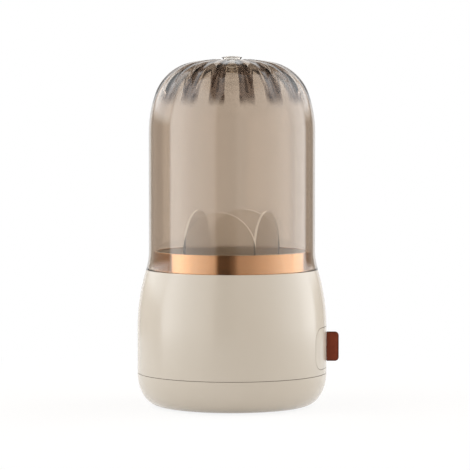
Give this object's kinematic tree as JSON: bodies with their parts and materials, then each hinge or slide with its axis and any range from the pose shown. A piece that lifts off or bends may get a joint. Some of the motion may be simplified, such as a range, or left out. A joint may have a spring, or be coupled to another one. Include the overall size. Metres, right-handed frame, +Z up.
{
  "type": "rotating makeup brush holder",
  "caption": "Turning round holder for makeup brushes, with a clear lift-off dome, a divided cup in a bright collar, and a drawer with a pull tab in the barrel.",
  "frame": {"origin": "middle of the flat underside that the holder stands on", "axes": "+Z up along the turning axis, +X towards the drawer's pull tab at rest, +Y to the side; the picture looks along +Y"},
  "size_m": [0.1606, 0.1508, 0.2787],
  "materials": {
    "cream_plastic": "polished, warm cream",
    "inner_plastic": "plain moulded, warm cream",
    "smoked_clear": "polished, smoky grey-brown tint",
    "frosted_clear": "frosted, warm white",
    "rose_gold": "polished rose-gold plating",
    "tab_leather": "matt dark brown",
    "pad_rubber": "matt",
    "race_steel": "zinc plated",
    "ball_steel": "polished",
    "screw_steel": "zinc plated",
    "cage_plastic": "natural white",
    "rivet_brass": "plain"
  },
  "bodies": {
    "foot": {"foot_shell": "cream_plastic", "anti_slip_pad": "pad_rubber", "lower_race": "race_steel", "lower_race_screws": "screw_steel", "pivot_post": "screw_steel", "pivot_washer": "screw_steel", "pivot_nut": "screw_steel"},
    "bearing": {"ball_cage": "cage_plastic", "bearing_balls": "ball_steel"},
    "rotor": {"rotor_deck": "inner_plastic", "upper_race": "race_steel", "upper_race_screws": "screw_steel", "barrel_shell": "cream_plastic", "barrel_screws": "screw_steel", "drawer_housing": "inner_plastic", "housing_screws": "screw_steel", "inner_cup": "inner_plastic", "collar_ring": "rose_gold", "brush_divider": "frosted_clear"},
    "drawer": {"drawer_tray": "inner_plastic", "drawer_front": "cream_plastic", "front_screws": "screw_steel", "pull_tab": "tab_leather", "tab_rivets": "rivet_brass"},
    "lid": {"dome": "smoked_clear"}
  },
  "joints": [
    {"name": "turntable_spin", "type": "hinge", "parent": "foot", "child": "rotor", "pos_m": [0, 0, 0], "axis": [0, 0, 1], "continuous": true},
    {"name": "ball_cage_spin", "type": "hinge", "parent": "foot", "child": "bearing", "pos_m": [0, 0, 0], "axis": [0, 0, 1], "continuous": true},
    {"name": "drawer_slide", "type": "slide", "parent": "rotor", "child": "drawer", "axis": [1, 0, 0], "range_m": [0, 0.07]},
    {"name": "dome_lift", "type": "slide", "parent": "rotor", "child": "lid", "axis": [0, 0, 1], "range_m": [0, 0.15]}
  ],
  "couplings": [
    {"joint": "ball_cage_spin", "follows": "turntable_spin", "ratio": 0.5}
  ]
}
